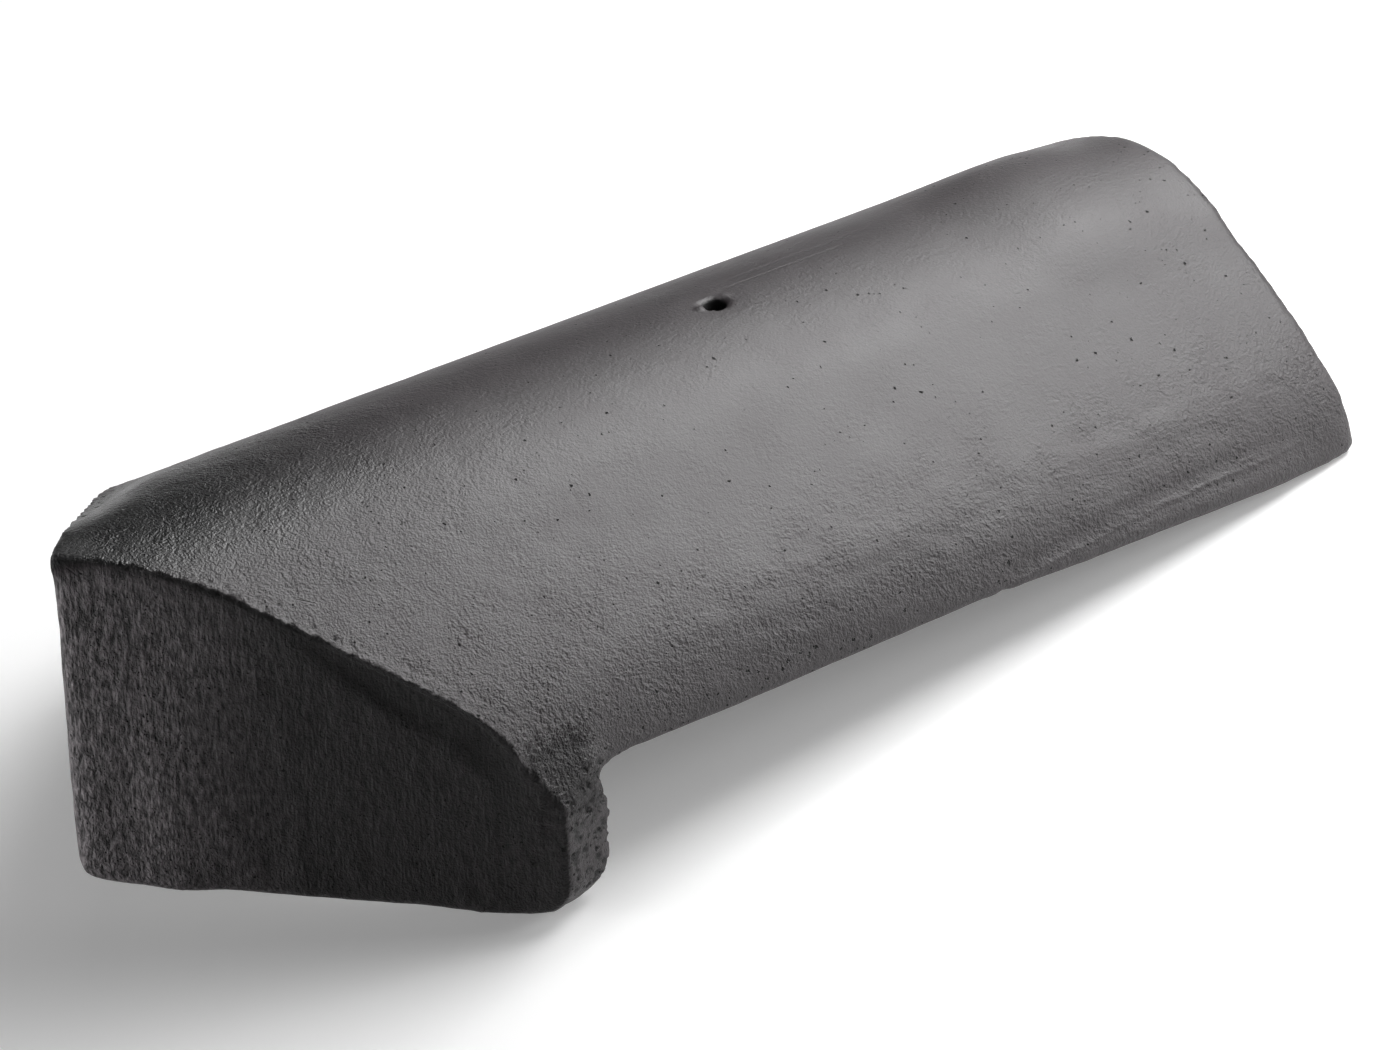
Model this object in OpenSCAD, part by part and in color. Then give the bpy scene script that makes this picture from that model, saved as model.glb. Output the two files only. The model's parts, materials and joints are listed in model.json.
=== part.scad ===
// Hip end tile: a barrel shaped hip tile cast in one piece with a V shaped prow
// that closes the lower end of a roof's hip.
//
// The tile is drawn as it is laid, with the tip of the prow at the origin, the crown
// along +X at Z = 0 and the foot of the prow below it. The last module sets it down
// as it lies on a level floor: on the two ends of its foot and the two corners of the
// barrel's far end, with the middle of its box over the origin.

/* [Barrel] */
// Length from the tip of the prow to the far end
tile_length = 450; // [350:5:600]
// Width across the lower edges
barrel_width = 229; // [200:1:280]
// Height of the crown above the lower edges
barrel_rise = 75; // [68:1:85]
// Outside radius of the crown
crown_radius = 87; // [60:1:100]
// Slope of the flanks, in degrees
flank_slope = 33; // [28:0.5:36]
// Radius of the bend between a flank and its lower edge
bend_radius = 50; // [40:1:60]
// Thickness of the barrel
barrel_wall = 16; // [12:0.5:22]

/* [Prow] */
// How far the corners of the prow stand out past the barrel's lower edges
corner_overhang = 7; // [3:0.5:16]
// Height from the foot of the prow to the crown
prow_height = 126; // [110:1:150]
// Angle between each prow face and the centre line, in degrees
prow_angle = 47.5; // [40:0.5:60]
// Thickness of the prow wall
prow_wall = 19; // [14:0.5:30]
// Slope of the shoulders above the corners, in degrees
shoulder_slope = 60; // [50:1:70]
// Rounding of the foot under the prow faces
foot_radius = 8; // [2:0.5:12]
// Rounding of the foot under the narrow side faces
side_foot_radius = 14; // [2:0.5:18]
// Fillet where the prow wall meets the barrel's lower edges
root_radius = 12; // [4:0.5:20]

/* [Nail hole] */
// Diameter of the nail hole through the crown
nail_hole_d = 8; // [5:0.5:12]
// Distance of the nail hole from the tip of the prow
nail_hole_from_tip = 265; // [180:1:300]
// Distance of the nail hole from the centre line
nail_hole_offset = 3; // [-8:0.5:8]

/* [Hidden] */
$fn = 128;

edge_y = barrel_width / 2;
corner_y = edge_y + corner_overhang;
cut_margin = 10;
// Straight stretches lie this little inside the arcs, so that each pair crosses cleanly
sink = 0.01;
// How far the fillets behind the prow wall reach into the barrel and stay inside its sides
root_key = 1;
root_step = 0.3;
beyond = tile_length + prow_height;

// The bend's arc touches the flank and ends at the lower edge. edge_drop is how far
// that edge lies under the flank's straight line.
flank_level = crown_radius * (1 - cos(flank_slope));
edge_drop = flank_level - edge_y * sin(flank_slope) + barrel_rise * cos(flank_slope);
bend_run = sqrt(edge_drop * (2 * bend_radius - edge_drop));
bend_y = edge_y + (edge_drop - bend_radius) * sin(flank_slope) - bend_run * cos(flank_slope);
bend_z = (edge_drop - bend_radius) * cos(flank_slope) + bend_run * sin(flank_slope) - barrel_rise;

// Back corner of the prow wall, where it meets the barrel's lower edge
wall_back = prow_wall / sin(prow_angle);
root_x = wall_back + edge_y / tan(prow_angle);
corner_x = corner_y / tan(prow_angle);
side_angle = atan2(corner_y - edge_y, root_x - corner_x);

// Where the flat of the foot ends, at the back of the prow wall
foot_x = root_x - side_foot_radius * cos(prow_angle) / sin(prow_angle + side_angle);
rest_tilt = atan2(prow_height - barrel_rise, tile_length - foot_x);
floor_z = -tile_length * sin(rest_tilt) - barrel_rise * cos(rest_tilt);
nose_round = foot_radius / sin(prow_angle);
nose_x = nose_round * cos(rest_tilt) - (prow_height - foot_radius) * sin(rest_tilt)
    - norm([nose_round * cos(rest_tilt), foot_radius * sin(rest_tilt)]);
middle_x = (nose_x + tile_length * cos(rest_tilt)) / 2;

// Half width inside the lower edges
inner_edge_y = bend_y + sqrt(pow(bend_radius - barrel_wall, 2) - pow(barrel_rise + bend_z, 2));

// Point at a given slope on the crown's arc and on the bend's arc
function crown_point(inset) =
    let (radius = crown_radius - inset - sink)
    [radius * sin(flank_slope), radius * cos(flank_slope) - crown_radius];
function bend_point(inset, slope) =
    let (radius = bend_radius - inset - sink)
    [bend_y + radius * sin(slope), bend_z + radius * cos(slope)];

// Outline from the crown's centre, with the given points on both sides
module mirrored_polygon(points) {
    mirror_points = [for (i = [len(points) - 1:-1:0]) [-points[i][0], points[i][1]]];
    polygon(concat([[0, -crown_radius]], points, mirror_points));
}

// The two kinds of arc in every cross section
module arcs(inset) {
    translate([0, -crown_radius]) circle(crown_radius - inset);
    for (side = [-1, 1])
        translate([side * bend_y, bend_z]) circle(bend_radius - inset);
}

// Everything above a level of the cross section
module above(level) {
    translate([-beyond, level]) square([2 * beyond, 2 * beyond]);
}

// Barrel's outline, drawn inset by the given thickness
module barrel_outline(inset) {
    intersection() {
        union() {
            arcs(inset);
            mirrored_polygon([
                crown_point(inset),
                bend_point(inset, flank_slope),
                [bend_y, bend_z],
                [bend_y, -beyond]
            ]);
        }
        above(-barrel_rise);
    }
}

// Prow's outline, with its shoulders, corners and foot
module prow_outline() {
    shoulder = bend_point(0, shoulder_slope);
    intersection() {
        union() {
            arcs(0);
            mirrored_polygon([
                crown_point(0),
                bend_point(0, flank_slope),
                [bend_y, bend_z],
                shoulder,
                [corner_y, shoulder[1] - (corner_y - shoulder[0]) * tan(shoulder_slope)],
                [corner_y, -beyond]
            ]);
        }
        above(-prow_height);
    }
}

// Cross section drawn in Y and Z, drawn out along X
module along_barrel(from, to) {
    translate([from, 0, 0])
        rotate([90, 0, 90])
            linear_extrude(to - from) children();
}

// Section drawn inwards from a wall's face and up, drawn out along that wall on both
// sides. The wall's face starts at the given point and turns away by the given angle.
module along_walls(start, angle) {
    for (side = [0, 1])
        mirror([0, side, 0])
            intersection() {
                translate(start)
                    rotate([90, 0, 90 - angle])
                        linear_extrude(4 * beyond, center = true) children();
                translate([-beyond, -2 * beyond, -beyond]) cube(2 * beyond);
            }
}

// Upright section with a rounded foot
module wall_section(thickness, radius) {
    difference() {
        translate([0, -prow_height]) square([thickness, prow_height + cut_margin]);
        translate([0, -prow_height]) square(radius);
    }
    translate([radius, radius - prow_height]) circle(radius);
}

// V shaped wall under the crown, flush with the barrel's outside
module prow() {
    intersection() {
        along_barrel(-cut_margin, root_x + cut_margin) prow_outline();
        along_walls([0, 0, 0], prow_angle) wall_section(prow_wall, foot_radius);
        along_walls([corner_x, -corner_y, 0], -side_angle) wall_section(beyond, side_foot_radius);
    }
}

// Barrel with its underside open, cut off along the prow faces
module barrel() {
    intersection() {
        along_barrel(-cut_margin, tile_length)
            difference() {
                barrel_outline(0);
                barrel_outline(barrel_wall);
            }
        along_walls([0, 0, 0], prow_angle)
            translate([0, -beyond]) square(2 * beyond);
    }
}

// Fillets between the back of the prow wall and the barrel's lower edges
module roots() {
    root_z = -barrel_rise - root_radius;
    inside = inner_edge_y + root_step;
    outside = edge_y - root_step;
    intersection() {
        for (side = [0, 1])
            mirror([0, side, 0])
                translate([0, -outside, root_z])
                    cube([tile_length, outside - inside, root_radius + root_key]);
        along_walls([0, 0, 0], prow_angle)
            difference() {
                translate([prow_wall - root_key, root_z])
                    square([root_radius + root_key, root_radius + root_key]);
                translate([prow_wall + root_radius, root_z]) circle(root_radius);
            }
    }
}

module nail_hole() {
    translate([nail_hole_from_tip, nail_hole_offset, -crown_radius])
        cylinder(h = crown_radius + cut_margin, d = nail_hole_d);
}

module tile_as_laid() {
    difference() {
        union() {
            barrel();
            prow();
            roots();
        }
        nail_hole();
    }
}

module hip_end_tile() {
    color([0.33, 0.32, 0.33])
        translate([-middle_x, 0, -floor_z])
            rotate([0, rest_tilt, 0]) tile_as_laid();
}

hip_end_tile();
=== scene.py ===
import bmesh
import bpy
import json
import math
import numpy as np
import random
from mathutils import Matrix, Vector, kdtree, noise


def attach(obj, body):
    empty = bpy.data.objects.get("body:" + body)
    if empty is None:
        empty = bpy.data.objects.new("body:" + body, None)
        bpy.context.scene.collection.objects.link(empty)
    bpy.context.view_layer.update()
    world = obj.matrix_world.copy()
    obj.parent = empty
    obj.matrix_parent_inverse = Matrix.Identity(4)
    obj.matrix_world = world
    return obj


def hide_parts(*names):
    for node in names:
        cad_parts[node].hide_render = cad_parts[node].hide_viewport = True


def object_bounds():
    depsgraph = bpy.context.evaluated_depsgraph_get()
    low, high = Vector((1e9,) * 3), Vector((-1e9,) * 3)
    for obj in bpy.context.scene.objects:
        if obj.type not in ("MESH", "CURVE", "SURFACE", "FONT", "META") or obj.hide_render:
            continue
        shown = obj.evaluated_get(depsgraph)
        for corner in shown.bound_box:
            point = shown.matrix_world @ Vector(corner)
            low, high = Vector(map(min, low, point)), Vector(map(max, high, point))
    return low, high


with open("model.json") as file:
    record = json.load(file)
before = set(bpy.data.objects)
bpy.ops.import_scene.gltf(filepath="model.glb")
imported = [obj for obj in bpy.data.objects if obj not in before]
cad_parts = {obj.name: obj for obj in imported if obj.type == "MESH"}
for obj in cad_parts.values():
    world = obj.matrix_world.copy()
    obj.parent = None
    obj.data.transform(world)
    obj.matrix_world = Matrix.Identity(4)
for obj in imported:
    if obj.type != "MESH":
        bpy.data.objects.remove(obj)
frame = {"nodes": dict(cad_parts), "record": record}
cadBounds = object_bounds()
print("frame loaded")

# Sizes of the tile in metres, as it is laid: x runs from the prow's tip along the crown, y runs across,
# and z is 0 on the crown and points up
tile = {
    "length": 0.450,
    "halfWidth": 0.1145,
    "cornerHalfWidth": 0.1215,
    "rise": 0.075,
    "crownRadius": 0.087,
    "flankSlope": math.radians(33),
    "bendRadius": 0.050,
    "wall": 0.016,
    "prowAngle": math.radians(47.5),
    "prowWall": 0.019,
    "sideAngle": math.radians(19.8),
    "edgeGirth": 0.1435,          # from the middle of the crown round the outside to the lower edge
    "holeRadius": 0.004,
    "holeFromTip": 0.265,
    "holeOffset": 0.003,
    "holeMountDepth": 0.008,      # how deep the nail hole's mount lies under the crown
}

cast = {
    "voxel": 0.00185,
    "mergeDistance": 0.00001,
    "snapReach": 0.0006,          # a vertex this near the true outline is put on it
    "trianglesKept": 192000,      # of the whole tile, once the underside is thinned
    "arrisPasses": 3,             # smoothing that rounds every arris a little
}

mm = 0.001

lip = {
    "endHeight": -0.082,          # where the lip leaves the barrel and runs level to the corner
    "tipDroop": 4.0 * mm,         # how far it drops at the prow's tip
    "droopReach": 0.014,
}


def mountOf(name):
    for mount in frame["record"]["mounts"]:
        if mount["name"] == name:
            return Vector(mount["pos_m"]), Vector(mount["axis"])
    raise ValueError("no mount named " + name)


def laidFrame():
    holePoint, up = mountOf("nail_hole")
    along = mountOf("far_end")[1]
    side = up.cross(along)
    tip = holePoint - along * tile["holeFromTip"] - side * tile["holeOffset"] + up * tile["holeMountDepth"]
    turn = Matrix((along, side, up)).transposed().to_4x4()
    return Matrix.Translation(tip) @ turn


laid = laidFrame()                # takes a point of the tile as laid to where the tile lies at rest


def ramp(low, high, value):
    t = np.clip((value - low) / (high - low), 0, 1)
    return t * t * (3 - 2 * t)


def bump(middle, reach, value):
    return ramp(reach, 0, np.abs(value - middle))


def fieldNoise(points, size, seed, octaves=2):
    scaled = points / np.array(size) + seed * 11.7
    return np.fromiter((noise.fractal(Vector(p), 0.9, 2.1, octaves) for p in scaled), float, len(points))


def lineNoise(values, size, seed):
    steps = np.linspace(values.min(), values.max(), 600)
    heights = [noise.fractal(Vector((s / size, seed * 7.9, 0)), 0.8, 2.1, 3) for s in steps]
    return np.interp(values, steps, heights)


# Where each vertex lies: how deep under the barrel's outside, how far round its girth, and how far behind
# the prow's faces and along them
class Survey:
    def __init__(self, points):
        radius, slope, bend = tile["crownRadius"], tile["flankSlope"], tile["bendRadius"]
        sine, cosine = math.sin(slope), math.cos(slope)
        drop = radius * (1 - cosine) - tile["halfWidth"] * sine + tile["rise"] * cosine
        run = math.sqrt(drop * (2 * bend - drop))
        bendY = tile["halfWidth"] + (drop - bend) * sine - run * cosine
        bendZ = (drop - bend) * cosine + run * sine - tile["rise"]
        flankLength = bendY * cosine - (bendZ + radius) * sine
        self.x, self.y, self.z = points.T
        self.q = np.abs(self.y)
        height = self.z + radius
        crownAngle = np.arctan2(self.q, height)
        bendAngle = np.arctan2(self.q - bendY, self.z - bendZ)
        onBend = (bendAngle > slope) & (self.q > bendY)
        onCrown = (crownAngle < slope) & ~onBend
        fromCrown = np.hypot(self.q, height)
        fromBend = np.hypot(self.q - bendY, self.z - bendZ)
        zones = [onCrown, onBend]
        onFlank = radius - self.q * sine - height * cosine
        self.depth = np.select(zones, [radius - fromCrown, bend - fromBend], onFlank)
        outward = np.select(zones, [self.q / fromCrown, (self.q - bendY) / fromBend], sine)
        self.outY = outward * np.sign(self.y)
        self.outZ = np.select(zones, [height / fromCrown, (self.z - bendZ) / fromBend], cosine)
        roundBend = radius * slope + flankLength + bend * (bendAngle - slope)
        downFlank = radius * slope + self.q * cosine - height * sine
        self.girth = np.select(zones, [radius * crownAngle, roundBend], downFlank)
        self.behind = self.x * math.sin(tile["prowAngle"]) - self.q * math.cos(tile["prowAngle"])
        self.along = self.x * math.cos(tile["prowAngle"]) + self.q * math.sin(tile["prowAngle"])
        self.fromHole = np.hypot(self.x - tile["holeFromTip"], self.y - tile["holeOffset"])
        droop = lip["tipDroop"] * np.clip(1 - self.along / lip["droopReach"], 0, 1) ** 2
        self.under = np.maximum(self.depth, lip["endHeight"] - self.z) - droop
        corner = tile["cornerHalfWidth"] / math.tan(tile["prowAngle"])
        self.outside = ((self.x - corner) * math.sin(tile["sideAngle"])
                        + (self.q - tile["cornerHalfWidth"]) * math.cos(tile["sideAngle"]))
        self.near = ramp(0.02, -0.02, self.y)


def coords(data):
    flat = np.empty(len(data.vertices) * 3)
    data.vertices.foreach_get("co", flat)
    return flat.reshape(-1, 3)


def normals(data):
    flat = np.empty(len(data.vertices) * 3)
    data.vertices.foreach_get("normal", flat)
    return flat.reshape(-1, 3)


def setCoords(data, points):
    data.vertices.foreach_set("co", points.ravel())
    data.update()


def smoothWhere(data, chosen, passes):
    shape = bmesh.new()
    shape.from_mesh(data)
    shape.verts.ensure_lookup_table()
    verts = [shape.verts[i] for i in np.flatnonzero(chosen)]
    for _ in range(passes):
        bmesh.ops.smooth_vert(shape, verts=verts, factor=0.5, use_axis_x=True, use_axis_y=True,
                              use_axis_z=True)
    shape.to_mesh(data)
    shape.free()


def smoothSoftly(data, distance, passes, reach=6 * mm):
    for step in (1.0, 0.66, 0.33, 0.0):       # wider zones get fewer passes, so no step shows at the rim
        smoothWhere(data, distance < reach * step, passes)


def refineWhere(data, chosen):
    shape = bmesh.new()
    shape.from_mesh(data)
    edges = [e for e in shape.edges if chosen[e.verts[0].index] and chosen[e.verts[1].index]]
    bmesh.ops.subdivide_edges(shape, edges=edges, cuts=1, use_grid_fill=True)
    ngons = [f for f in shape.faces if len(f.verts) > 4]
    bmesh.ops.triangulate(shape, faces=ngons)
    shape.to_mesh(data)
    shape.free()


def applyModifiers(piece):
    graph = bpy.context.evaluated_depsgraph_get()
    data = bpy.data.meshes.new_from_object(piece.evaluated_get(graph))
    piece.modifiers.clear()
    old = piece.data
    piece.data = data
    bpy.data.meshes.remove(old)


def blankTile():
    shape = bmesh.new()
    shape.from_mesh(frame["nodes"]["hip_end_tile"].data)
    bmesh.ops.remove_doubles(shape, verts=shape.verts, dist=cast["mergeDistance"])
    bmesh.ops.transform(shape, matrix=laid.inverted(), verts=shape.verts)
    data = bpy.data.meshes.new("hip_end_tile_cast")
    shape.to_mesh(data)
    shape.free()
    piece = bpy.data.objects.new("hip_end_tile_cast", data)
    bpy.context.scene.collection.objects.link(piece)
    remesh = piece.modifiers.new("even faces", "REMESH")
    remesh.mode = "VOXEL"
    remesh.voxel_size = cast["voxel"]
    applyModifiers(piece)
    return piece


def snapToOutline(data):
    points = coords(data)
    s = Survey(points)
    for level in (0, tile["wall"]):
        off = s.depth - level
        near = (np.abs(off) < cast["snapReach"]) & (s.fromHole > tile["holeRadius"])
        points[:, 1] += np.where(near, off * s.outY, 0)
        points[:, 2] += np.where(near, off * s.outZ, 0)
    setCoords(data, points)


def triangleCount(data):
    return sum(len(p.vertices) - 2 for p in data.polygons)


def thinUnderside(piece, s):
    hidden = (s.depth > tile["wall"] * 0.6) & (s.behind > tile["prowWall"] * 0.6) & (s.fromHole > 0.012)
    inside = piece.vertex_groups.new(name="underside")
    inside.add([int(i) for i in np.flatnonzero(hidden)], 1.0, "REPLACE")
    thin = piece.modifiers.new("thin underside", "DECIMATE")
    thin.ratio = cast["trianglesKept"] / triangleCount(piece.data)
    thin.vertex_group = "underside"
    thin.use_collapse_triangulate = False
    applyModifiers(piece)
    piece.vertex_groups.clear()


def roundHole(data):
    points = coords(data)
    s = Survey(points)
    radius = np.maximum(s.fromHole, mm * 0.1)
    wanted = np.where(s.fromHole < 1.5 * tile["holeRadius"], tile["holeRadius"], radius)
    inWall = (s.depth > 1.0 * mm) & (s.depth < tile["wall"] - 1.0 * mm)
    wanted = np.where(inWall, wanted, np.maximum(radius, tile["holeRadius"]))
    scale = wanted / radius
    points[:, 0] = tile["holeFromTip"] + (points[:, 0] - tile["holeFromTip"]) * scale
    points[:, 1] = tile["holeOffset"] + (points[:, 1] - tile["holeOffset"]) * scale
    setCoords(data, points)


def dragLine(s):                  # how far above the lower edge the drag ridge runs
    return np.interp(s.x, (0.292, 0.320, 0.350, 0.390, 0.430), (0.0, 5 * mm, 8 * mm, 10 * mm, 12 * mm))


piece = blankTile()
print("even faces:", len(piece.data.polygons))
snapToOutline(piece.data)
s = Survey(coords(piece.data))
topArris = (np.abs(s.behind) < 6.5 * mm) & (np.abs(s.depth) < 7 * mm) & (s.x < 0.14)
aroundHole = s.fromHole < 17 * mm
sideFace = (s.q > 0.104) & (s.x < 0.142) & (s.z < -0.045)
alongRidge = ((s.y < 0) & (np.abs(s.depth) < 1.5 * mm) & (s.x > 0.288) & (s.x < 0.442)
              & (np.abs(tile["edgeGirth"] - s.girth - dragLine(s)) < 4.5 * mm))
refineWhere(piece.data, topArris | aroundHole | sideFace | alongRidge)
roundHole(piece.data)
s = Survey(coords(piece.data))
lipArris = (np.abs(s.behind) < 2.5 * mm) & (np.abs(s.depth) < 3.5 * mm) & (s.x > 0.004) & (s.x < 0.12)
refineWhere(piece.data, lipArris)
print("refined:", triangleCount(piece.data), "triangles")


def roundArrises(data):
    s = Survey(coords(data))
    topArris = (np.abs(s.behind) < 3 * mm) & (np.abs(s.depth) < 3 * mm) & (s.x > 0.012)
    aroundHole = s.fromHole < 8 * mm
    smoothWhere(data, ~topArris & ~aroundHole, cast["arrisPasses"])
    smoothWhere(data, topArris, 4)
    for level in (-0.010, -0.022, -0.034, -0.046, -0.058, -0.070):      # the middle arris widens downwards
        smoothSoftly(data, np.maximum.reduce((s.q - 16 * mm, s.x - 18 * mm, s.z - level)), 1, 10 * mm)
    smoothWhere(data, (s.x < 30 * mm) & (s.q < 22 * mm) & (s.z > -14 * mm), 5)
    farCorners = np.maximum(tile["length"] - 2 * mm - s.x, 0.133 - s.girth)
    smoothSoftly(data, farCorners, 6, 9 * mm)
    smoothWhere(data, s.x > tile["length"] - 5 * mm, 3)
    shoulder = np.maximum.reduce((0.103 - s.q, 4 * mm - s.behind, -0.088 - s.z, s.z + 0.062,
                                  s.x - 0.132, s.depth - 3 * mm))
    smoothSoftly(data, shoulder, 5)
    sideFoot = np.maximum.reduce((0.112 - s.q, s.z + 0.112))
    smoothSoftly(data, sideFoot, 4, 9 * mm)


roundArrises(piece.data)

wear = {
    "swellHeight": 0.30 * mm,     # slow swell over the whole tile
    "lumpHeight": 0.07 * mm,
    "lumpsAdded": 0.15 * mm,      # near the prow and on the lower flanks
    "grainHeight": 0.08 * mm,
    "insideHeight": 0.9 * mm,     # rough cast on the underside
    "lipPush": 0.5 * mm,          # ragged lip along the prow's top arris
    "grooveDepth": 0.3 * mm,      # furrow just under the lip
    "coveDepth": 1.2 * mm,        # hollow under the furrow, towards the side faces
    "crumbHeight": 0.17 * mm,     # crumbs on the barrel beside the lip
    "secondFurrow": 0.35 * mm,    # second furrow behind the lip, towards the corners
    "streakHeight": 0.17 * mm,    # upright streaks on the prow's faces
    "prowLumps": 0.22 * mm,
    "ledgeHeight": 0.5 * mm,      # ledge across the side faces
    "knobHeight": 0.3 * mm,       # knobs on the side faces
    "cornerStep": 0.4 * mm,       # step on the prow's faces below the lip's ends
    "waveHeight": 0.38 * mm,      # long shallow waves above the lower edges
    "rippleHeight": 0.22 * mm,    # shorter ones among them
    "ridgeHeight": 0.50 * mm,     # drag ridge above the lower edge
    "troughDepth": 0.45 * mm,     # trough above the ridge
    "edgeNotch": 0.6 * mm,        # notch in the lower edge where the ridge starts
    "holeHollow": 0.3 * mm,       # shallow hollow round the nail hole
    "burrHeight": 0.75 * mm,      # burr on the hole's side towards the prow
    "holeCrumb": 0.35 * mm,       # crumb on its other side
    "sidePits": 150,              # on the side faces
    "sidePitRadii": (0.8 * mm, 1.7 * mm),
    "lipPits": 45,                # on the barrel beside the lip
    "lipPitRadii": (0.5 * mm, 1.0 * mm),
}


def prowOutward(s):
    ahead = -np.sin(tile["prowAngle"]) * np.ones(len(s.q))
    aside = np.cos(tile["prowAngle"]) * np.sign(s.y)
    return np.stack((ahead, aside, np.zeros(len(s.q))), axis=1)


def castRelief(points, out, s):
    underside = ramp(0.5, 0.8, s.depth / tile["wall"]) * ramp(0.5, 0.8, s.behind / tile["prowWall"])
    blockEnd = ramp(0.20, 0.08, s.x - 0.3 * s.girth)
    lowFlank = ramp(0.094, 0.112, s.girth)
    swell = fieldNoise(points, (0.09, 0.05, 0.05), 1) * wear["swellHeight"]
    lumpy = wear["lumpHeight"] + wear["lumpsAdded"] * np.maximum(blockEnd, lowFlank)
    lumps = fieldNoise(points, (0.016, 0.013, 0.013), 2) * lumpy
    grainy = wear["grainHeight"] * np.maximum(blockEnd, 0.6 * lowFlank + 0.1)
    grain = fieldNoise(points, (0.005, 0.005, 0.005), 3) * grainy
    rough = fieldNoise(points, (0.012, 0.012, 0.012), 4, 3) * wear["insideHeight"] * underside
    return out * ((swell + lumps + grain) * (1 - underside) + rough)[:, None]


def prowTopEdge(points, out, s):
    signed = s.along * np.sign(s.y)
    face = ramp(4 * mm, 1.5 * mm, np.abs(s.behind))
    onTop = ramp(0.113, 0.102, s.q)
    ragged = np.clip(0.5 + 0.8 * lineNoise(signed, 0.006, 21) + 0.9 * lineNoise(signed, 0.0022, 22), 0, 1.6)
    ragged *= 0.08 + 0.92 * ramp(0.015, 0.060, s.q)
    calm = np.where(s.y > 0, ramp(0.045, 0.075, s.along), 1.0)
    edge = ramp(0.7 * mm, 0.0, s.under) * ramp(2.6 * mm, 0.6 * mm, np.abs(s.behind))
    pushed = wear["lipPush"] * ragged * edge
    furrow = wear["grooveDepth"] * bump(0.9 * mm, 0.8 * mm, s.under) * face * onTop * (0.6 + 0.4 * ragged)
    furrow *= ramp(0.001, 0.045, s.along)
    tall = 2.5 * mm + 8 * mm * bump(0.088, 0.036, s.q)
    cove = (wear["coveDepth"] * ramp(0.048, 0.080, s.q) * face * onTop
            * ramp(0.5 * mm, 2.5 * mm, s.under) * ramp(tall + 5 * mm, tall - 1 * mm, s.under))
    onBarrel = (ramp(3 * mm, 1 * mm, np.abs(s.depth)) * ramp(0.018, 0.050, s.along)
                * ramp(-0.094, -0.080, s.z))
    nearArris = bump(2.5 * mm, 6 * mm, s.behind) * onBarrel
    crumbs = fieldNoise(points, (0.0024, 0.0017, 0.0024), 23) * wear["crumbHeight"] * nearArris * calm
    second = (bump(4.5 * mm + (s.q - 0.07) * 0.06, 1.6 * mm, s.behind) * ramp(0.066, 0.084, s.q)
              * ramp(0.118, 0.108, s.q))
    broken = np.clip(0.6 + lineNoise(signed, 0.008, 24), 0, 1.4)
    crumbs -= second * onBarrel * wear["secondFurrow"] * broken
    return prowOutward(s) * (pushed - furrow - cove)[:, None] + out * crumbs[:, None]


def prowFaces(points, out, s):
    face = ramp(5 * mm, 2 * mm, np.abs(s.behind)) * ramp(3 * mm, 8 * mm, s.under)
    streaks = fieldNoise(points, (0.0045, 0.0045, 0.030), 31) * wear["streakHeight"]
    lumps = fieldNoise(points, (0.011, 0.011, 0.014), 32) * wear["prowLumps"]
    onSide = ramp(3 * mm, 1 * mm, np.abs(s.outside)) * ramp(-0.066, -0.078, s.z)
    uneven = 0.7 + 0.8 * lineNoise(s.x * np.sign(s.y), 0.006, 33)
    ledge = bump(-0.083, 5 * mm, s.z) * wear["ledgeHeight"] * uneven
    knobs = fieldNoise(points, (0.006, 0.006, 0.009), 34) * wear["knobHeight"]
    step = (bump(-0.0865, 2.0 * mm, s.z) * ramp(0.110, 0.115, s.q)
            * ramp(5 * mm, 2 * mm, np.abs(s.behind)) * wear["cornerStep"])
    onFace = prowOutward(s) * ((streaks + lumps) * face + step)[:, None]
    return onFace + out * ((ledge + knobs) * onSide)[:, None]


def lowerFlanks(points, out, s):
    up = tile["edgeGirth"] - s.girth
    barrel = ramp(0.150, 0.190, s.x) * ramp(3 * mm, 1 * mm, np.abs(s.depth))
    band = ramp(0.052, 0.036, up) * ramp(0.004, 0.014, up) * ramp(0.447, 0.400, s.x)
    flow = np.stack((s.x, s.girth * np.sign(s.y), np.zeros(len(s.x))), axis=1)
    waves = fieldNoise(flow, (0.034, 0.0095, 1), 41) * wear["waveHeight"] * band
    waves += fieldNoise(flow, (0.012, 0.006, 1), 42) * wear["rippleHeight"] * band
    line = dragLine(s)
    shown = ramp(0.292, 0.304, s.x) * ramp(0.440, 0.405, s.x) * s.near
    wander = lineNoise(s.x, 0.012, 43)
    ridge = bump(line + 0.8 * mm * wander, 1.5 * mm, up) * wear["ridgeHeight"] * (1 + 0.5 * wander)
    ridge += np.clip(line - up, 0, 6 * mm) * 0.25 * ramp(0, 1.5 * mm, up)
    trough = bump(line + 4.5 * mm, 4.0 * mm, up) * wear["troughDepth"]
    notch = bump(0.2965, 4 * mm, s.x) * ramp(5 * mm, 0, up) * wear["edgeNotch"] * s.near
    return out * ((waves + (ridge - trough) * shown - notch) * barrel)[:, None]


def nailHole(points, out, s):
    dx, dy = s.x - tile["holeFromTip"], s.y - tile["holeOffset"]
    top = ramp(3 * mm, 1 * mm, np.abs(s.depth))
    hollow = wear["holeHollow"] * ramp(13 * mm, 3 * mm, np.hypot(dx * 0.8, dy - 2 * mm))
    burr = wear["burrHeight"] * ramp(2.6 * mm, 0.4 * mm, np.hypot(dx + 6 * mm, dy + 0.2 * mm))
    crumb = wear["holeCrumb"] * ramp(2.4 * mm, 0.3 * mm, np.hypot(dx - 6.5 * mm, dy - 3 * mm))
    return out * ((burr + crumb - hollow) * top)[:, None]


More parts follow.
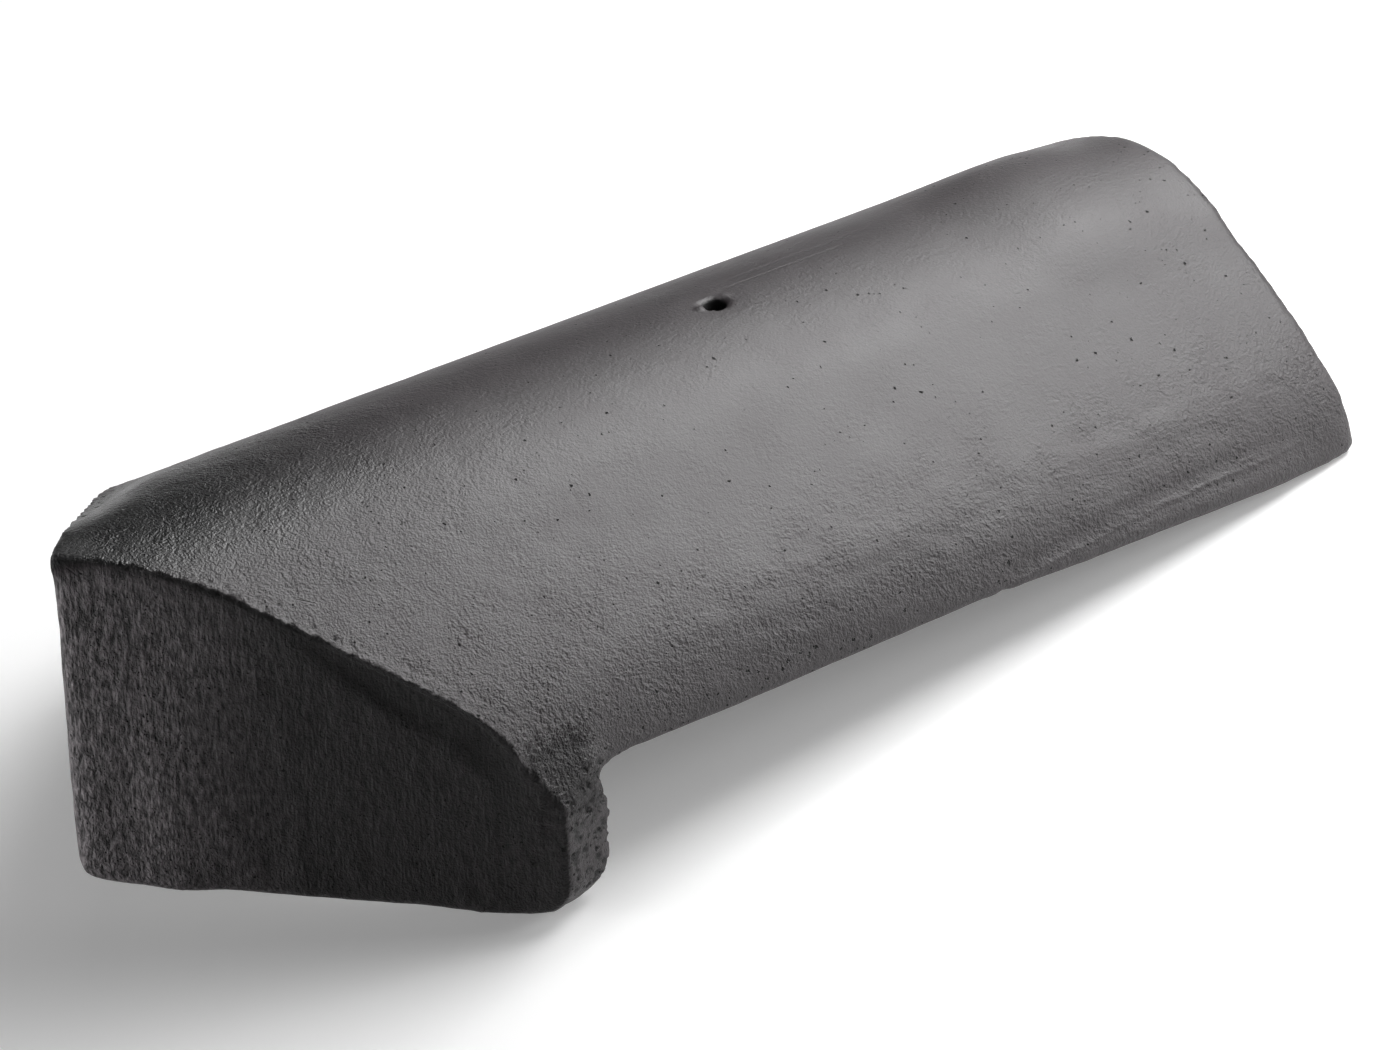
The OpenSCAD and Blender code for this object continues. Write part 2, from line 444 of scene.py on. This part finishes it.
faults = {                        # how far the casting strays from the true tile, in mm
    "farEndLonger": 1.9,
    "farCornersLonger": 1.6,
    "crownRise": 3.0,             # near the far end
    "lowEdgeRise": 2.1,           # two thirds of the way along the barrel's lower edges
    "tipCut": 3.4,                # beside the tip, on the far side
    "prowBulge": 1.8,             # low on the prow's faces
    "arrisBack": 2.3,             # back arris of the side faces, away from the tip
    "waistBack": 1.2,             # just above it
    "filletForward": 0.6,         # where the lower edge meets the side face
    "filletUp": 0.8,
    "footCornerUp": 1.3,
}


def formFaults(points, out, s):
    move = np.zeros_like(points)
    signedGirth = s.girth * np.sign(s.y)
    farEnd = ramp(tile["length"] - 20 * mm, tile["length"] - 2 * mm, s.x)
    ragged = 0.18 * lineNoise(signedGirth, 0.012, 5)
    shift = (faults["farEndLonger"] - 1.1 * bump(-0.052, 0.014, signedGirth)
             - 0.6 * bump(-0.107, 0.014, signedGirth) + 0.7 * bump(0, 0.034, signedGirth)
             + 0.5 * bump(0.075, 0.03, signedGirth)
             + faults["farCornersLonger"] * ramp(0.121, 0.138, s.girth) + ragged)
    move[:, 0] += farEnd * shift * mm
    crown = ramp(0.060, 0.022, s.girth) * (s.z > -0.045)
    move[:, 2] += crown * mm * (faults["crownRise"] * bump(0.400, 0.043, s.x) - 0.35
                                + 0.8 * ramp(0.40, 0.43, s.x))
    lastBit = ramp(0.415, 0.447, s.x) * (s.z > -0.060)
    move[:, 2] += lastBit * mm * (0.5 * bump(-0.010, 0.022, s.y) - 2.0 * bump(0.036, 0.034, s.y))
    lowEdge = ramp(0.112, 0.142, s.girth) * (s.z > -tile["rise"] - 5 * mm) * ramp(0.135, 0.155, s.x)
    move[:, 2] += lowEdge * mm * (faults["lowEdgeRise"] * bump(0.298, 0.115, s.x) - 0.6
                                  + bump(0.375, 0.075, s.x) * s.near)
    tipCut = bump(0.034, 0.030, s.y) * ramp(22 * mm, 4 * mm, s.behind) * ramp(16 * mm, 6 * mm, s.depth)
    move[:, 2] -= faults["tipCut"] * mm * tipCut
    nose = ramp(26 * mm, 4 * mm, s.along) * ramp(tile["prowWall"], 6 * mm, s.behind)
    move[:, 0] -= nose * mm * (0.2 + 1.2 * ramp(-0.020, -0.080, s.z) + 0.8 * ramp(-0.020, -0.006, s.z))
    bulge = (bump(0.034, 0.036, s.along) * ramp(-0.020, -0.085, s.z)
             * ramp(tile["prowWall"] * 0.7, 3 * mm, s.behind))
    move += prowOutward(s) * (faults["prowBulge"] * mm * bulge)[:, None]
    foot = ramp(-0.108, -0.122, s.z) * ramp(12 * mm, 5 * mm, s.behind)
    for drop, middle, reach in ((0.9, 0.026, 0.024), (-0.5, 0.048, 0.018), (0.9, 0.135, 0.022),
                                (-1.6, 0.165, 0.016)):
        move[:, 2] -= foot * mm * drop * bump(middle, reach, s.along)
    backArris = (ramp(-0.080, -0.094, s.z) * ramp(-0.125, -0.108, s.z) * ramp(0.100, 0.112, s.q)
                 * ramp(0.119, 0.128, s.x))
    move[:, 0] += faults["arrisBack"] * mm * backArris
    waist = (bump(-0.090, 0.010, s.z) * ramp(0.100, 0.110, s.q) * ramp(0.112, 0.126, s.x)
             * ramp(0.141, 0.132, s.x))
    move[:, 0] += faults["waistBack"] * mm * waist
    fillet = ramp(8 * mm, 1.5 * mm, np.hypot(s.x - 0.1345, s.z + 0.0785)) * ramp(0.088, 0.100, s.q)
    move[:, 0] -= faults["filletForward"] * mm * fillet
    move[:, 2] += faults["filletUp"] * mm * fillet
    footCorner = ramp(-0.110, -0.124, s.z) * ramp(0.110, 0.118, s.q) * ramp(0.112, 0.124, s.x)
    move[:, 2] += faults["footCornerUp"] * mm * footCorner
    return move


def pockmark(data, chosen, count, radii, seed):
    points, out = coords(data), normals(data)
    tree = kdtree.KDTree(len(points))
    for i, p in enumerate(points):
        tree.insert(p, i)
    tree.balance()
    draw = random.Random(seed)
    places = np.flatnonzero(chosen)
    deeper = np.zeros(len(points))
    for _ in range(count):
        middle = points[places[draw.randrange(len(places))]]
        radius = draw.uniform(*radii)
        for _, i, far in tree.find_range(middle, radius):
            deeper[i] = max(deeper[i], radius * 0.75 * (1 - (far / radius) ** 2))
    setCoords(data, points - out * deeper[:, None])
    return deeper


def markZones(data, s, out):      # how much of each finish, and of each painted shade, a vertex has, from 0 to 1
    facing = (out * prowOutward(s)).sum(axis=1)
    onProw = ramp(0.55, 0.85, facing) * ramp(4 * mm, 1.5 * mm, np.abs(s.behind))
    onBarrel = ramp(2.0 * mm, 0.5 * mm, s.under)
    atFaces = ramp(3 * mm, 1.5 * mm, np.abs(s.behind))
    endHigh = np.where(s.y > 0, ramp(0.095, 0.035, s.girth), ramp(0.046, 0.012, s.girth))
    # pit, nail_hole, under_lip, cove, shoulder, dark_end and prow_shade also mark where shade is painted
    # into the coat's colour
    zones = {
        "block_end": ramp(0.19, 0.05, s.x - 0.35 * s.girth),
        "low_flank": ramp(0.068, 0.114, s.girth) * ramp(3 * mm, 1 * mm, s.depth),
        "prow_face": onProw,
        "side_face": ramp(4 * mm, 2 * mm, np.abs(s.outside)) * ramp(-0.066, -0.080, s.z),
        "raw": (ramp(1.5 * mm, 5 * mm, s.depth) * ramp(0.4, 0.6, s.behind / tile["prowWall"])
                * ramp(-1 * mm, -4 * mm, s.outside)),
        "nail_hole": ramp(4.7 * mm, 4.1 * mm, s.fromHole) * ramp(0.0, 0.7 * mm, s.depth),
        "far_rim": ramp(0.375, 0.440, s.x),
        "prow_middle": (ramp(0.085, 0.008, s.along) * ramp(6 * mm, 2 * mm, np.abs(s.behind))
                        * ramp(1 * mm, 7 * mm, s.under)),
        "under_lip": (ramp(0, 0.6 * mm, s.under) * ramp(3.0 * mm, 0.9 * mm, s.under) * atFaces
                      * ramp(0.113, 0.102, s.q) * (0.4 + 0.6 * ramp(0.010, 0.045, s.along))),
        "cove": (ramp(0.040, 0.080, s.q) * atFaces * ramp(0.115, 0.108, s.q)
                 * ramp(0.0, 2.0 * mm, s.under) * ramp(15 * mm, 9 * mm, s.under)),
        "shoulder": (ramp(0.092, 0.102, s.q) * ramp(0.135, 0.122, s.x) * ramp(-0.056, -0.066, s.z)
                     * ramp(-0.094, -0.084, s.z) * ramp(0, 3 * mm, s.behind)),
        "prow_shade": onProw * ramp(0.018, 0.082, s.along),
        "dark_end": ramp(0.17, 0.03, s.x) * endHigh * onBarrel,
        "nose": ramp(0.016, 0.005, s.along) * ramp(8 * mm, 3 * mm, np.abs(s.under)),
        "low_edge": ramp(0.128, 0.138, s.girth) * ramp(0.13, 0.16, s.x) * ramp(0.33, 0.27, s.x),
        "pit": np.clip(pits / (0.6 * mm), 0, 1),
    }
    for name, values in zones.items():
        zone = data.attributes.new(name, "FLOAT", "POINT")
        zone.data.foreach_set("value", values.astype(np.float32))


points, out = coords(piece.data), normals(piece.data)
s = Survey(points)
for feature in (castRelief, prowTopEdge, prowFaces, lowerFlanks, nailHole, formFaults):
    points = points + feature(coords(piece.data), out, s)
    print("shaped:", feature.__name__)
setCoords(piece.data, points)
onSide = (np.abs(s.outside) < 1.5 * mm) & (s.z < -0.072) & (s.x > 0.1135) & (s.x < 0.132)
pits = pockmark(piece.data, onSide, wear["sidePits"], wear["sidePitRadii"], 51)
alongLip = ((np.abs(s.depth) < 1.5 * mm) & (s.behind > 2.5 * mm) & (s.behind < 8 * mm) & (s.along > 0.03)
            & (s.z > -0.08))
pits += pockmark(piece.data, alongLip, wear["lipPits"], wear["lipPitRadii"], 52)
print("pocked")
markZones(piece.data, s, out)
thinUnderside(piece, s)
print("thinned:", triangleCount(piece.data), "triangles")

shape = bmesh.new()
shape.from_mesh(piece.data)
bmesh.ops.transform(shape, matrix=laid, verts=shape.verts)
shape.to_mesh(piece.data)
shape.free()
piece.data.shade_smooth()


finish = {
    "color": (0.0250, 0.0205, 0.0225, 1),
    # painted shade: the colour that pin holes, pits, the nail hole, the line and hollow under the lip, the
    # shoulder and the crown beside the tip are darkened towards
    "paintedShadeColor": (0.004, 0.004, 0.004, 1),
    "rawColor": (0.105, 0.100, 0.095, 1),         # uncoated concrete inside the barrel and the prow
    "prowPaintedShadeColor": (0.0100, 0.0086, 0.0092, 1),    # painted shade: the prow's faces drawn darker than the rest of the coating
    "rubbedAndPaintedLightColor": (0.110, 0.100, 0.1045, 1),     # lighter streaks along the prow's middle arris: partly rubbed coating, partly painted light on the rounded nose
    # painted shade: how far pits, the line under the lip, the hollow under it, the shoulder and the crown
    # beside the tip are darkened
    "paintedShadeShares": {"pit": 0.95, "under_lip": 0.7, "cove": 0.55, "shoulder": 0.6, "dark_end": 0.95},
    "roughness": (0.47, 0.53),
    "prowRoughness": 0.70,
    "rawRoughness": 0.85,
    "sharper": -0.18,             # what the shoulder and the dark end add to the roughness
    "noseDuller": 0.35,
    "specular": 0.6,
    # painted shade: less gloss for the prow's faces and the shoulder
    "prowSpecular": 0.30,
}

relief = {                        # height of each grain in mm, and what each zone adds to it
    "fine": {"everywhere": 0.115, "block_end": 0.24, "low_flank": 0.17, "prow_face": 0.30,
             "shoulder": -0.14, "side_face": 0.12, "far_rim": 0.06, "raw": 0.26},
    "middling": {"everywhere": 0.13, "block_end": 0.22, "low_flank": 0.32, "side_face": 0.22,
                 "prow_middle": 0.45, "far_rim": 0.06, "shoulder": -0.14, "raw": 0.41},
    "coarse": {"everywhere": 0.05, "block_end": 0.10, "low_flank": 0.16, "side_face": 0.20, "raw": 0.3},
    "streaky": {"everywhere": 0.0, "prow_face": 0.62, "prow_middle": 0.28},
}

pinHoles = [                      # spacing and radius in mm, and the share of the places that has a hole
    {"spacing": 4.0, "radius": 0.46, "inPatches": False,
     "share": {"everywhere": 0.26, "block_end": 0.20, "far_rim": 0.2, "side_face": 0.6, "low_edge": 0.5,
               "prow_face": 0.1}},
    {"spacing": 1.9, "radius": 0.32, "inPatches": True,
     "share": {"everywhere": 0.06, "block_end": 0.14, "far_rim": 0.08, "low_flank": 0.10,
               "side_face": 0.55, "prow_face": 0.26, "prow_middle": 0.30}},
    {"spacing": 3.0, "radius": 0.85, "inPatches": False,
     "share": {"everywhere": 0.0, "side_face": 0.80, "low_edge": 0.45}},
]
pinHoleDepth = 0.45

dragLines = [                     # middle and turn of each scratch, and its length, width and depth in mm
    {"middle": (0.300, 0.010, 0), "turn": 0.0, "length": 60, "width": 1.4, "depth": 0.12},
    {"middle": (0.312, 0.016, 0), "turn": 0.02, "length": 80, "width": 3.0, "depth": 0.14},
    {"middle": (0.062, -0.052, 0), "turn": -0.55, "length": 7, "width": 0.5, "depth": 0.30},
]


def nodeGroup(name, inputs, outputs):
    group = bpy.data.node_groups.new(name, "ShaderNodeTree")
    for label, kind, value in inputs:
        socket = group.interface.new_socket(label, in_out="INPUT", socket_type="NodeSocket" + kind)
        if value is not None:
            socket.default_value = value
    for label, kind in outputs:
        group.interface.new_socket(label, in_out="OUTPUT", socket_type="NodeSocket" + kind)
    return group, group.nodes.new("NodeGroupInput"), group.nodes.new("NodeGroupOutput")


def put(tree, kind, links=None, **settings):
    node = tree.nodes.new(kind)
    for key, value in settings.items():
        setattr(node, key, value)
    for key, value in (links or {}).items():
        if isinstance(value, bpy.types.NodeSocket):
            tree.links.new(value, node.inputs[key])
        else:
            node.inputs[key].default_value = value
    return node


def maths(tree, operation, *values, clamp=False):
    sockets = dict(enumerate(values))
    return put(tree, "ShaderNodeMath", sockets, operation=operation, use_clamp=clamp).outputs[0]


def vectorMaths(tree, operation, *values, scale=None):
    sockets = dict(enumerate(values))
    if scale is not None:
        sockets["Scale"] = scale
    return put(tree, "ShaderNodeVectorMath", sockets, operation=operation).outputs[0]


def mapped(tree, value, start, end, low=0.0, high=1.0, curve="LINEAR"):
    return put(tree, "ShaderNodeMapRange", {"Value": value, "From Min": start, "From Max": end,
                                            "To Min": low, "To Max": high},
               interpolation_type=curve).outputs[0]


def mixed(tree, kind, share, first, second):
    return put(tree, "ShaderNodeMix", {"Factor": share, "A": first, "B": second},
               data_type=kind).outputs["Result"]


def noiseOf(tree, vector, scale, detail, **more):
    return put(tree, "ShaderNodeTexNoise", {"Vector": vector, "Scale": scale, "Detail": detail, **more})


def grainGroup():
    group, start, end = nodeGroup("skin grain", [("Vector", "Vector", None), ("Size mm", "Float", 2.0),
                                                 ("Height mm", "Float", 0.1),
                                                 ("Stretch", "Vector", (1, 1, 1))],
                                  [("Height", "Float")])
    stretched = vectorMaths(group, "MULTIPLY", start.outputs["Vector"], start.outputs["Stretch"])
    scale = maths(group, "DIVIDE", 1000.0, start.outputs["Size mm"])
    grain = noiseOf(group, stretched, scale, 2.5, Roughness=0.55).outputs[0]
    centred = maths(group, "SUBTRACT", grain, 0.5)
    group.links.new(maths(group, "MULTIPLY", centred, start.outputs["Height mm"]), end.inputs["Height"])
    return group


def poreGroup():
    group, start, end = nodeGroup("pin holes", [("Vector", "Vector", None), ("Spacing mm", "Float", 5.0),
                                                ("Radius mm", "Float", 0.5), ("Share", "Float", 0.5)],
                                  [("Mask", "Float")])
    place, spacing = start.outputs["Vector"], start.outputs["Spacing mm"]
    scale = maths(group, "DIVIDE", 1000.0, spacing)
    wobble = noiseOf(group, place, maths(group, "MULTIPLY", scale, 3.5), 1.0).outputs[1]
    centred = vectorMaths(group, "SUBTRACT", wobble, (0.5, 0.5, 0.5))
    reach = maths(group, "MULTIPLY", start.outputs["Radius mm"], 0.0028)
    bent = vectorMaths(group, "ADD", place, vectorMaths(group, "SCALE", centred, scale=reach))
    cells = put(group, "ShaderNodeTexVoronoi", {"Vector": bent, "Scale": scale})
    draw = put(group, "ShaderNodeSeparateColor", {"Color": cells.outputs["Color"]})
    distance = maths(group, "MULTIPLY", cells.outputs["Distance"], spacing)
    size = maths(group, "ADD", draw.outputs[1], 0.5)
    radius = maths(group, "MULTIPLY", start.outputs["Radius mm"], size)
    hole = mapped(group, distance, radius, maths(group, "MULTIPLY", radius, 0.45), curve="SMOOTHSTEP")
    chosen = maths(group, "LESS_THAN", draw.outputs[0], start.outputs["Share"])
    group.links.new(maths(group, "MULTIPLY", hole, chosen), end.inputs["Mask"])
    return group


def dragGroup():
    group, start, end = nodeGroup("drag line", [("Vector", "Vector", None), ("Length mm", "Float", 10.0),
                                                ("Width mm", "Float", 1.0)], [("Mask", "Float")])
    length, width = start.outputs["Length mm"], start.outputs["Width mm"]
    apart = put(group, "ShaderNodeSeparateXYZ", {0: start.outputs["Vector"]})
    alongLine = maths(group, "MULTIPLY", maths(group, "ABSOLUTE", apart.outputs[0]), 2000.0)
    across = maths(group, "MULTIPLY", maths(group, "ABSOLUTE", apart.outputs[1]), 2000.0)
    ends = mapped(group, alongLine, length, maths(group, "MULTIPLY", length, 0.6), curve="SMOOTHSTEP")
    sides = mapped(group, across, width, 0.0, curve="SMOOTHSTEP")
    group.links.new(maths(group, "MULTIPLY", ends, sides), end.inputs["Mask"])
    return group


def coatGroup():
    grainNodes, poreNodes, dragNodes = grainGroup(), poreGroup(), dragGroup()
    tree, start, end = nodeGroup("concrete coat", [("Vector", "Vector", None),
                                                   ("Color", "Color", (0.5, 0.5, 0.5, 1)),
                                                   ("Prow Painted Shade Color", "Color", (0.2, 0.2, 0.2, 1)),
                                                   ("Lowest Roughness", "Float", 0.5),
                                                   ("Highest Roughness", "Float", 0.5)],
                                 [("Color", "Color"), ("Roughness", "Float"), ("Height mm", "Float")])

    def zone(name):
        return put(tree, "ShaderNodeAttribute", attribute_name=name).outputs["Fac"]

    def use(group, links):
        return put(tree, "ShaderNodeGroup", links, node_tree=group).outputs[0]

    def amount(shares):
        total = shares["everywhere"]
        for name, more in shares.items():
            if name != "everywhere":
                total = maths(tree, "MULTIPLY_ADD", zone(name), more, total)
        return total

    def moved(vector, matrix):    # the vector as seen from a place that the matrix leads back from
        return put(tree, "ShaderNodeMapping", {"Vector": vector, "Location": matrix.translation,
                                               "Rotation": matrix.to_euler()}).outputs[0]

    asLaid = moved(start.outputs["Vector"], laid.inverted())
    patchy = mapped(tree, noiseOf(tree, asLaid, 75.0, 2.0).outputs[0], 0.34, 0.66, 0.40, 1.75)
    fine, middling, coarse, streaky = (amount(shares) for shares in relief.values())
    middling = maths(tree, "MULTIPLY", middling, patchy)
    heights = []
    for size, high, stretch in ((0.8, fine, (1, 1, 1)), (1.7, middling, (1, 1, 1)),
                                (3.6, coarse, (1.2, 1.0, 1.0)), (1.0, streaky, (1, 1, 0.20)),
                                (2.2, streaky, (1, 1, 0.55))):
        heights.append(use(grainNodes, {"Vector": asLaid, "Size mm": size, "Height mm": high,
                                        "Stretch": stretch}))
    height = heights[0]
    for more in heights[1:]:
        height = maths(tree, "ADD", height, more)
    holes = 0.0
    for kind in pinHoles:
        share = amount(kind["share"])
        if kind["inPatches"]:
            share = maths(tree, "MULTIPLY", patchy, share)
        mask = use(poreNodes, {"Vector": asLaid, "Spacing mm": kind["spacing"],
                               "Radius mm": kind["radius"], "Share": share})
        holes = maths(tree, "MAXIMUM", holes, mask)
    height = maths(tree, "MULTIPLY_ADD", holes, -pinHoleDepth, height)
    for line in dragLines:
        spot = Matrix.Translation(line["middle"]) @ Matrix.Rotation(line["turn"], 4, "Z")
        mask = use(dragNodes, {"Vector": moved(asLaid, spot.inverted()), "Length mm": line["length"],
                               "Width mm": line["width"]})
        height = maths(tree, "MULTIPLY_ADD", mask, -line["depth"], height)
    tree.links.new(height, end.inputs["Height mm"])

    blotch = noiseOf(tree, asLaid, 45.0, 4.0, Roughness=0.6).outputs[0]
    speck = noiseOf(tree, asLaid, 900.0, 1.0).outputs[0]
    tone = mapped(tree, maths(tree, "MULTIPLY_ADD", speck, 0.4, blotch), 0.40, 1.00, 0.78, 1.22)
    upright = vectorMaths(tree, "MULTIPLY", asLaid, (1, 1, 0.35))
    streak = noiseOf(tree, upright, 900.0, 3.0).outputs[0]
    # rubbed streaks and painted light: the prow's faces lighter towards the nose
    rubbedAndPaintedLight = maths(tree, "MULTIPLY", mapped(tree, streak, 0.34, 0.66, 0.40, 1.0), zone("prow_middle"))
    # painted shade on the prow's faces, darkest away from the nose
    shaded = mixed(tree, "RGBA", zone("prow_shade"), start.outputs["Color"], start.outputs["Prow Painted Shade Color"])
    skin = mixed(tree, "RGBA", rubbedAndPaintedLight, shaded, finish["rubbedAndPaintedLightColor"])
    coat = mixed(tree, "RGBA", zone("raw"), skin, finish["rawColor"])
    drawn = maths(tree, "MULTIPLY_ADD", holes, -0.12, maths(tree, "ADD", heights[3], heights[4]))
    reliefShadeAndLight = mapped(tree, drawn, -0.20, 0.20, 0.15, 1.85)      # painted shade and light: low streaks and holes darker, raised streaks lighter
    mottledAndShaded = vectorMaths(tree, "SCALE", coat, scale=maths(tree, "MULTIPLY", tone, reliefShadeAndLight))
    # painted shade: pin holes, the nail hole and the zones listed in the finish are darkened towards the
    # painted shade colour
    dark = maths(tree, "MAXIMUM", holes, zone("nail_hole"))
    for name, share in finish["paintedShadeShares"].items():
        dark = maths(tree, "MAXIMUM", dark, maths(tree, "MULTIPLY", zone(name), share))
    color = mixed(tree, "RGBA", dark, mottledAndShaded, finish["paintedShadeColor"])
    tree.links.new(color, end.inputs["Color"])

    satin = mapped(tree, blotch, 0.3, 0.7, start.outputs["Lowest Roughness"],
                   start.outputs["Highest Roughness"])
    rough = mixed(tree, "FLOAT", zone("prow_face"), satin, finish["prowRoughness"])
    rough = mixed(tree, "FLOAT", zone("raw"), rough, finish["rawRoughness"])
    glossy = maths(tree, "MAXIMUM", zone("shoulder"), zone("dark_end"))
    rough = maths(tree, "MULTIPLY_ADD", glossy, finish["sharper"], rough)
    rough = maths(tree, "MULTIPLY_ADD", zone("nose"), finish["noseDuller"], rough)
    rough = mixed(tree, "FLOAT", holes, rough, 1.0)
    tree.links.new(rough, end.inputs["Roughness"])
    return tree


coatNodes = coatGroup()


def coating(name, specular):
    material = bpy.data.materials.new(name)
    material.use_nodes = True
    tree = material.node_tree
    shader = tree.nodes["Principled BSDF"]
    low, high = finish["roughness"]
    place = put(tree, "ShaderNodeTexCoord").outputs["Object"]
    coat = put(tree, "ShaderNodeGroup", {"Vector": place, "Color": finish["color"],
                                         "Prow Painted Shade Color": finish["prowPaintedShadeColor"],
                                         "Lowest Roughness": low, "Highest Roughness": high},
               node_tree=coatNodes)
    bumps = put(tree, "ShaderNodeBump", {"Height": coat.outputs["Height mm"], "Distance": mm,
                                         "Strength": 1.0})
    tree.links.new(coat.outputs["Color"], shader.inputs["Base Color"])
    tree.links.new(coat.outputs["Roughness"], shader.inputs["Roughness"])
    tree.links.new(bumps.outputs[0], shader.inputs["Normal"])
    shader.inputs["Specular IOR Level"].default_value = specular
    return material


piece.data.materials.clear()
piece.data.materials.append(coating("coated concrete", finish["specular"]))
# painted shade: a copy of the coating with less gloss, on the prow's faces and the shoulder, where shade
# falls
piece.data.materials.append(coating("coated concrete with painted shade", finish["prowSpecular"]))
shadedGlossShares = np.zeros(len(piece.data.vertices))
for name in ("prow_face", "shoulder"):
    shadedGlossShares = np.maximum(shadedGlossShares, [item.value for item in piece.data.attributes[name].data])
scatter = random.Random(53)       # the lit and the shaded copy of the coating run into each other
for face in piece.data.polygons:
    shadedGlossShare = min(shadedGlossShares[i] for i in face.vertices)
    face.material_index = int(shadedGlossShare > scatter.uniform(0.05, 0.95))
print("coated")
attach(piece, "root")
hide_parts("hip_end_tile")

# Floor, lamps and camera
stage = {
    "floorSize": 12.0,
    "floorColor": (0.9, 0.9, 0.9, 1),
    "floorRoughness": 0.9,
    "floorSpecular": 0.1,
    "floorGlow": 0.18,            # lifts the floor to white where it is seen, and keeps the shadow
}

lamps = {                         # where each stands, what it points at, its width and its power in watts
    "above": {"place": (0.67, -0.10, 0.78), "aim": (0, 0, 0.08), "size": (0.7, 0.7), "power": 12.6},
    "above back": {"place": (0.75, 0.30, 0.70), "aim": (0, 0, 0.08), "size": (0.5, 0.5), "power": 3.6},
    "right front": {"place": (1.4, -1.0, 0.6), "aim": (0, 0, 0.08), "size": (0.8, 0.8), "power": 16.4},
    "right back": {"place": (1.2, 0.9, 0.9), "aim": (0, 0, 0.08), "size": (1.0, 1.0), "power": 3.2},
    "left low": {"place": (-0.99, 0.62, 0.12), "aim": (-0.20, 0, 0.06), "size": (0.4, 0.16), "power": 11},
}

view = {
    "azimuth": math.radians(-30.46),
    "elevation": math.radians(34.14),
    "roll": math.radians(-11.09),
    "distance": 2.382,
    "aim": Vector((0.0082, -0.0280, -0.0253)),   # from the middle of the tile's box
    "lens": 181.8,
    "sensor": 36.0,
}


def makeFloor():
    sheet = bmesh.new()
    bmesh.ops.create_grid(sheet, x_segments=1, y_segments=1, size=stage["floorSize"] / 2)
    data = bpy.data.meshes.new("floor")
    sheet.to_mesh(data)
    sheet.free()
    floor = bpy.data.objects.new("floor", data)
    bpy.context.scene.collection.objects.link(floor)
    material = bpy.data.materials.new("pale floor")
    material.use_nodes = True
    shader = material.node_tree.nodes["Principled BSDF"]
    shader.inputs["Base Color"].default_value = stage["floorColor"]
    shader.inputs["Roughness"].default_value = stage["floorRoughness"]
    shader.inputs["Specular IOR Level"].default_value = stage["floorSpecular"]
    tree = material.node_tree
    ray = tree.nodes.new("ShaderNodeLightPath")
    seen = maths(tree, "ADD", ray.outputs["Is Camera Ray"], ray.outputs["Is Glossy Ray"])
    seen = maths(tree, "ADD", seen, ray.outputs["Is Transmission Ray"], clamp=True)
    tree.links.new(maths(tree, "MULTIPLY", seen, stage["floorGlow"]), shader.inputs["Emission Strength"])
    shader.inputs["Emission Color"].default_value = (1, 1, 1, 1)
    data.materials.append(material)


def makeLamp(name, place, aim, size, power):
    lamp = bpy.data.lights.new(name, "AREA")
    lamp.shape = "RECTANGLE"
    lamp.size, lamp.size_y = size
    lamp.energy = power
    holder = bpy.data.objects.new(name, lamp)
    bpy.context.scene.collection.objects.link(holder)
    holder.location = place
    holder.rotation_mode = "QUATERNION"
    holder.rotation_quaternion = (Vector(place) - Vector(aim)).to_track_quat("Z", "Y")


def makeCamera():
    low, high = cadBounds
    back = Vector((math.sin(view["azimuth"]) * math.cos(view["elevation"]),
                   -math.cos(view["azimuth"]) * math.cos(view["elevation"]),
                   math.sin(view["elevation"])))
    data = bpy.data.cameras.new("camera")
    data.sensor_width = view["sensor"]
    data.lens = view["lens"]
    data.clip_end = 50
    camera = bpy.data.objects.new("camera", data)
    bpy.context.scene.collection.objects.link(camera)
    camera.rotation_mode = "QUATERNION"
    camera.rotation_quaternion = (back.to_track_quat("Z", "Y").to_matrix()
                                  @ Matrix.Rotation(view["roll"], 3, "Z")).to_quaternion()
    camera.location = (low + high) / 2 + view["aim"] + back * view["distance"]
    bpy.context.scene.camera = camera


makeFloor()
for name, lamp in lamps.items():
    makeLamp(name, **lamp)
makeCamera()
print("floor, lamps and camera placed")
world = bpy.data.worlds.new("studio")
bpy.context.scene.world = world
world.use_nodes = True
world.node_tree.nodes["Background"].inputs["Color"].default_value = (1, 1, 1, 1)
world.node_tree.nodes["Background"].inputs["Strength"].default_value = 0.0
bpy.context.scene.view_settings.view_transform = "Standard"
